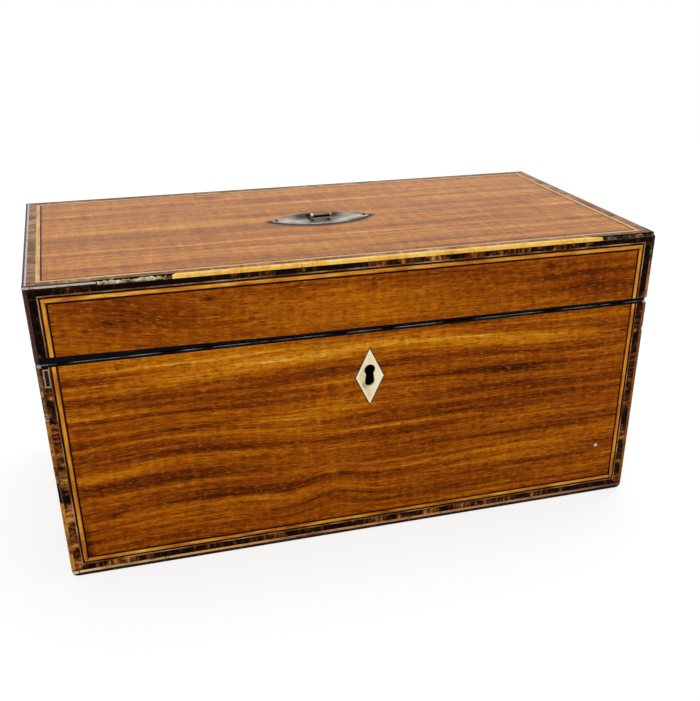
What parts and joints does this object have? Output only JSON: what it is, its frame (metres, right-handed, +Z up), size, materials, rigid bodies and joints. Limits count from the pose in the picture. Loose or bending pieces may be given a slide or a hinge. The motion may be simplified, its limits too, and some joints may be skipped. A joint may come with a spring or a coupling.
{
  "type": "antique knife box",
  "caption": "Rectangular veneered box with banded and strung faces, hinged lid with a small folding handle, lock with a diamond keyhole plate, and notched racks inside",
  "frame": {"origin": "middle of the underside", "axes": "+Z up, the front with the keyhole faces -Y, the length runs along X"},
  "size_m": [0.3, 0.1622, 0.1484],
  "materials": {
    "field_veneer": "figured satinwood-like veneer, shellac polish, worn",
    "crossband": "dark rosewood banding, cross-grained, polished",
    "boxwood": "boxwood stringing, yellowed, polished",
    "ebony": "ebony, polished",
    "carcase_wood": "plain mahogany, oiled",
    "bone": "bone, aged, polished",
    "worn_plate": "silver plate on brass, tarnished and worn",
    "brass": "old brass, dulled",
    "iron": "filed iron, darkened",
    "baize": "green baize, faded"
  },
  "bodies": {
    "case": {"body_front_board": "carcase_wood", "body_back_board": "carcase_wood", "body_left_board": "carcase_wood", "body_right_board": "carcase_wood", "body_base": "carcase_wood", "body_front_veneer": "field_veneer", "body_back_veneer": "field_veneer", "body_left_veneer": "field_veneer", "body_right_veneer": "field_veneer", "body_crossbanding": "crossband", "body_boxwood_lines": "boxwood", "body_ebony_lines": "ebony", "body_boxwood_edge": "boxwood", "body_ebony_edge": "ebony", "body_lip": "ebony", "escutcheon": "bone", "lock_case": "brass", "lock_cap": "brass", "lock_pin": "iron", "lock_screws": "iron", "body_hinge_leaves": "brass", "hinge_pins": "brass", "body_hinge_screws": "iron", "body_floor_lining": "baize", "body_wall_lining": "baize", "blade_rack": "baize", "handle_rack": "baize"},
    "lid": {"lid_front_board": "carcase_wood", "lid_back_board": "carcase_wood", "lid_left_board": "carcase_wood", "lid_right_board": "carcase_wood", "lid_top_board": "carcase_wood", "lid_front_veneer": "field_veneer", "lid_back_veneer": "field_veneer", "lid_left_veneer": "field_veneer", "lid_right_veneer": "field_veneer", "lid_top_veneer": "field_veneer", "lid_crossbanding": "crossband", "lid_boxwood_lines": "boxwood", "lid_ebony_lines": "ebony", "lid_boxwood_edge": "boxwood", "lid_ebony_edge": "ebony", "lid_lip": "ebony", "link_plate": "brass", "link_screws": "iron", "lid_hinge_leaves": "brass", "lid_hinge_screws": "iron", "handle_plate": "worn_plate", "handle_pivot": "worn_plate", "handle_nails": "brass", "lid_wall_lining": "baize", "lid_ceiling_lining": "baize"},
    "bail": {"handle_bail": "worn_plate"},
    "bolt": {"lock_bolt": "iron"}
  },
  "joints": [
    {"name": "lid_hinge", "type": "hinge", "parent": "case", "child": "lid", "pos_m": [0, 0.0805, 0.1108], "axis": [-1, 0, 0], "range_deg": [0, 95]},
    {"name": "bail_hinge", "type": "hinge", "parent": "lid", "child": "bail", "pos_m": [-0.0022, 0.0058, 0.1445], "axis": [-1, 0, 0], "range_deg": [0, 110]},
    {"name": "bolt_slide", "type": "slide", "parent": "case", "child": "bolt", "axis": [1, 0, 0], "range_m": [0, 0.0042]}
  ]
}
